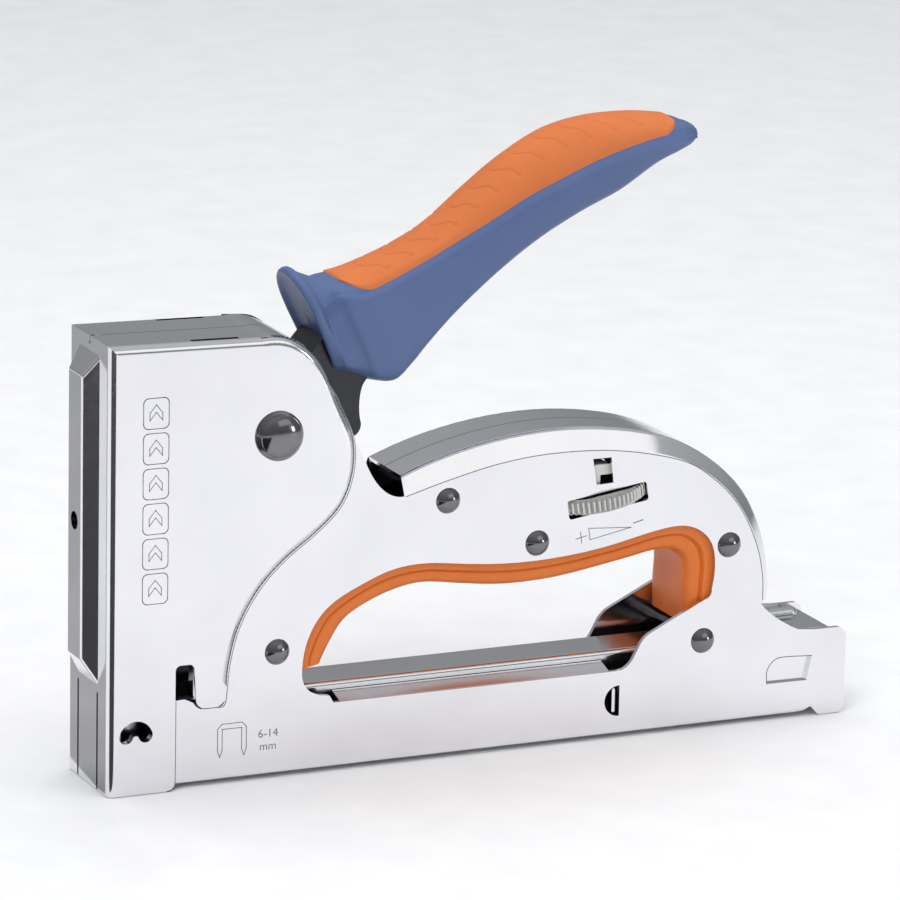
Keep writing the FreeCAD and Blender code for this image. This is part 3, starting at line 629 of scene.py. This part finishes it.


def build_seam_shade():
    """Painted shade as dark lines: the shadow where the head cover laps the side plates, the shade on the
    cover's own edge, round the tail pocket and under the arch band.
    """
    brow = smooth_path([(38.4, 108.6), (45.3, 107.9), (49.6, 105.5)], 12)
    cheek = smooth_path([(49.6, 105.5), (54.0, 100.6), (58.3, 91.0), (61.9, 82.6), (62.1, 74.3), (59.3, 66.4),
                         (53.2, 60.3), (44.5, 53.8), (38.0, 47.0), (33.2, 38.5), (30.9, 30.0),
                         (30.2, 23.4)], 90)
    rear = brow[:-1].tolist() + cheek[14:].tolist()
    tongue = corner_cut([(30.2, 23.4), (29.8, 19.4), (27.2, 19.5), (24.6, 19.5), (22.8, 19.7),
                         (22.0, 22.2)], 3)
    # Painted shadow: a dark line on the plate where the cover laps it. Painted shade: a dark line on the
    # cover's own edge.
    dark_line_marks("cover_gap_shadow_rear", ribbon(rear, GAP_SHADOW_WIDTH) + ribbon(tongue, GAP_SHADOW_WIDTH), PLATE_Y)
    dark_line_marks("cover_edge_shade_rear", ribbon(rear[8:], EDGE_SHADE_WIDTH) + ribbon(tongue, EDGE_SHADE_WIDTH), COVER_Y)
    # The same painted shadow and painted shade lines along the cover's shoe.
    shoe = corner_cut([(17.15, 22.0), (17.15, 2.0), (16.9, 0.4), (15.0, 0.0)], 2)
    dark_line_marks("cover_gap_shadow_shoe", ribbon(shoe, GAP_SHADOW_WIDTH), PLATE_Y)
    dark_line_marks("cover_edge_shade_shoe", ribbon(shoe, EDGE_SHADE_WIDTH), COVER_Y)
    # Painted shade: a dark line round the edge of the tail pocket.
    pocket = corner_cut([(175.0, 9.4), (174.7, 13.0), (177.0, 15.8), (179.9, 16.0), (187.3, 15.5)], 2)
    dark_line_marks("pocket_edge_shade", ribbon(pocket, 0.24), PLATE_Y)
    # Painted shade: a dark line where the arch band's fold meets the side plate.
    arch = smooth_path([(76.2, 66.5), (87.4, 69.55), (101.4, 72.55), (116.0, 73.75), (132.5, 72.85),
                        (149.2, 69.05), (158.0, 63.9), (165.6, 56.15), (170.65, 46.35), (172.75, 37.9),
                        (173.05, 31.3)], 80)
    dark_line_marks("arch_edge_shade", ribbon(arch, 0.22), PLATE_Y)


MARKS, MARKS_START, MARKS_STEP = 6, 46.6, 8.5
FINE_LINE, LINE, THICK_LINE = 0.20, 0.22, 0.30


def build_marks():
    """Column of boxed chevrons on the head cover, and the signs on the side plates."""
    quads = []
    for k in range(MARKS):
        z0 = MARKS_START + k * MARKS_STEP
        quads += ribbon(rounded_loop(8.4, 14.8, z0, z0 + 7.4, 1.3), LINE, True)
        quads += ribbon([(10.0, z0 + 2.0), (11.6, z0 + 4.0), (13.2, z0 + 2.0), (13.2, z0 + 3.8),
                         (11.6, z0 + 5.8), (10.0, z0 + 3.8)], FINE_LINE, True)
    dark_line_marks("cover_motif", quads, COVER_Y)
    staple = [(28.9, 6.6), (28.3, 8.2), (28.3, 13.6), (29.4, 14.8), (34.6, 14.8), (35.7, 13.6), (35.7, 8.2),
              (35.1, 6.6), (34.5, 8.2), (34.5, 13.5), (29.5, 13.5), (29.5, 8.2)]
    plus = ribbon([(121.5, 51.7), (124.3, 52.3)], LINE) + ribbon([(122.7, 53.4), (123.1, 50.6)], LINE)
    wedge = ribbon([(124.9, 54.1), (136.3, 53.3), (125.3, 51.2)], FINE_LINE, True)
    minus = ribbon([(137.0, 54.3), (139.4, 54.9)], THICK_LINE)
    dark_line_marks("plate_marks", ribbon(staple, LINE, True) + plus + wedge + minus, PLATE_Y)


def build_window_tabs():
    """Bright edge of the bent tab inside the half-round window, on both sides."""
    for side in SIDES:
        corners = [(132.5, 6.7), (133.3, 6.7), (133.3, 12.4), (132.9, 12.8), (132.5, 12.4)]
        rings = [[at(x, side * (PLATE_Y - depth), z) for x, z in corners] for depth in (0.25, 3.2)]
        verts, faces = loft(rings)
        obj = new_object("window_tab" + side_label(side), verts, faces, MAT["bright_plate"], 20)
        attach(obj, "housing")


TEXT_SIZE, TEXT_LINE, TEXT_THICK = 2.9, 3.2, 0.016           # mm
TEXT_X, TEXT_Z = 41.3, 10.4


def build_size_text():
    """Staple leg range beside the staple outline, on both side plates."""
    for side in SIDES:
        for row, words in enumerate(("6-14", "mm")):
            curve = bpy.data.curves.new("size_text", "FONT")
            curve.body = words
            curve.size = TEXT_SIZE * MM
            curve.extrude = TEXT_THICK * MM
            curve.align_x = "CENTER"
            obj = bpy.data.objects.new("size_text_tmp", curve)
            bpy.context.scene.collection.objects.link(obj)
            bpy.context.view_layer.update()
            depsgraph = bpy.context.evaluated_depsgraph_get()
            mesh = bpy.data.meshes.new_from_object(obj.evaluated_get(depsgraph))
            bpy.data.objects.remove(obj)
            turn = Matrix.Rotation(math.radians(90), 4, "X")
            if side > 0:
                turn = Matrix.Rotation(math.radians(180), 4, "Z") @ turn
            spot = at(TEXT_X, side * (PLATE_Y + 0.004), TEXT_Z - row * TEXT_LINE)
            mesh.transform(Matrix.Translation(spot) @ turn)
            mesh.materials.clear()
            mesh.materials.append(MAT["engraving_and_painted_shade"])
            piece = bpy.data.objects.new("size_text%s_%d" % (side_label(side), row), mesh)
            bpy.context.scene.collection.objects.link(piece)
            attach(piece, "housing")


# ---- studio -------------------------------------------------------------
FLOOR_HALF, FLOOR_Z, FLAG_Z = 5.0, -0.0002, 0.0006          # metres


def build_floor():
    """Pale matt floor a hair under the tool."""
    m, tree, shader, place = node_material("studio_floor")
    grain = noise(tree, place, 60.0, 4.0, 0.6)
    tree.links.new(ramp(tree, grain, [(0.3, (0.86, 0.86, 0.87)), (0.7, (0.90, 0.90, 0.905))]),
                   shader.inputs["Base Color"])
    tree.links.new(spread(tree, grain, 0.55, 0.7), shader.inputs["Roughness"])
    h = FLOOR_HALF
    floor = new_object("studio_floor", [(-h, -h, 0), (h, -h, 0), (h, h, 0), (-h, h, 0)], [(0, 1, 2, 3)], m)
    floor.location.z = FLOOR_Z


def floor_sector(name, apex, start, end, reach, shade):
    """Fan on the floor that only reflections see, as a studio flag would look in the plating."""
    m, tree, shader, where = node_material(name)
    mottle = noise(tree, where, 12.0, 2.0)
    tree.links.new(ramp(tree, mottle, [(0.3, (shade * 0.85,) * 3), (0.7, (shade * 1.15,) * 3)]),
                   shader.inputs["Base Color"])
    shader.inputs["Roughness"].default_value = 0.9
    rim = [(apex[0] + reach * math.cos(math.radians(a)), apex[1] + reach * math.sin(math.radians(a)), FLAG_Z)
           for a in np.linspace(start, end, 13)]
    obj = new_object(name, [(apex[0], apex[1], FLAG_Z)] + rim, [tuple(range(1 + len(rim)))], m)
    obj.visible_camera = False
    obj.visible_diffuse = False
    obj.visible_shadow = False


def area_light(name, place, target, size, power, colour=(1, 1, 1)):
    """Rectangular light turned to its target."""
    light = bpy.data.lights.new(name, "AREA")
    light.shape = "RECTANGLE"
    light.size, light.size_y = size
    light.energy = power
    light.color = colour
    obj = bpy.data.objects.new(name, light)
    bpy.context.scene.collection.objects.link(obj)
    obj.location = place
    obj.rotation_euler = (Vector(target) - Vector(place)).to_track_quat("-Z", "Y").to_euler()
    return obj


def build_world():
    """Grey studio: darker toward the horizon, paler overhead."""
    world = bpy.data.worlds.new("studio")
    bpy.context.scene.world = world
    world.use_nodes = True
    tree = world.node_tree
    tree.nodes.clear()
    out = tree.nodes.new("ShaderNodeOutputWorld")
    back = tree.nodes.new("ShaderNodeBackground")
    place = tree.nodes.new("ShaderNodeTexCoord")
    split = tree.nodes.new("ShaderNodeSeparateXYZ")
    tree.links.new(place.outputs["Generated"], split.inputs["Vector"])
    tree.links.new(ramp(tree, split.outputs["Z"], [(0.0, (0.30, 0.31, 0.32)), (0.12, (0.33, 0.34, 0.35)),
                                                   (0.35, (0.42, 0.43, 0.44)), (1.0, (0.75, 0.76, 0.78))]),
                   back.inputs["Color"])
    back.inputs["Strength"].default_value = 0.79
    tree.links.new(back.outputs["Background"], out.inputs["Surface"])


CAMERA_PLACE = (-0.58575, -1.2743, 0.4374)                  # metres
CAMERA_AZIMUTH, CAMERA_ELEVATION, CAMERA_ROLL = -24.56, 14.56, 1.19


def build_camera():
    """Long lens from the front left and above, as in the photograph."""
    az, el, roll = (math.radians(a) for a in (CAMERA_AZIMUTH, CAMERA_ELEVATION, CAMERA_ROLL))
    look = Vector((-math.sin(az) * math.cos(el), math.cos(az) * math.cos(el), -math.sin(el)))
    level = Vector((math.cos(az), math.sin(az), 0))
    upright = level.cross(look)
    right = level * math.cos(roll) + upright * math.sin(roll)
    up = upright * math.cos(roll) - level * math.sin(roll)
    cam = bpy.data.cameras.new("camera")
    cam.lens, cam.sensor_width = 240.0, 36.0
    cam.clip_start, cam.clip_end = 0.05, 30
    obj = bpy.data.objects.new("camera", cam)
    bpy.context.scene.collection.objects.link(obj)
    turn = Matrix((right, up, -look)).transposed()
    obj.matrix_world = Matrix.Translation(Vector(CAMERA_PLACE)) @ turn.to_4x4()
    bpy.context.scene.camera = obj


def build_lights():
    """Soft light from above and the left, softboxes for the plating, and two dark flags on the floor."""
    overhead = area_light("overhead", (0.0, 0.1, 1.3), (0, 0, 0.05), (1.8, 1.8), 15.0)
    key = area_light("key_front_left", (-0.9, -0.9, 1.0), (0, 0, 0.07), (0.7, 0.7), 6.5)
    overhead.visible_glossy = key.visible_glossy = False
    tool = (0.02, 0, 0.07)
    area_light("softbox_front_right", (0.50, -0.92, 0.80), tool, (0.95, 0.62), 1.3, (1.0, 0.99, 0.955))
    area_light("small_softbox_right", (0.86, -0.80, 0.24), tool, (0.22, 0.26), 1.3)
    floor_sector("flag_front_left", (-0.0975, -0.0140), 196, 262, 0.6, 0.03)
    floor_sector("flag_behind_left", (-0.0960, -0.0120), 96, 134, 0.6, 0.36)


dress_cad()
rows, cut = build_sleeve()
build_pad(rows, cut)
build_liner()
build_pivot_rivet()
build_springs()
build_seam_shade()
build_window_tabs()
build_marks()
build_size_text()
build_floor()
build_world()
build_lights()
build_camera()
bpy.context.scene.view_settings.view_transform = "Standard"
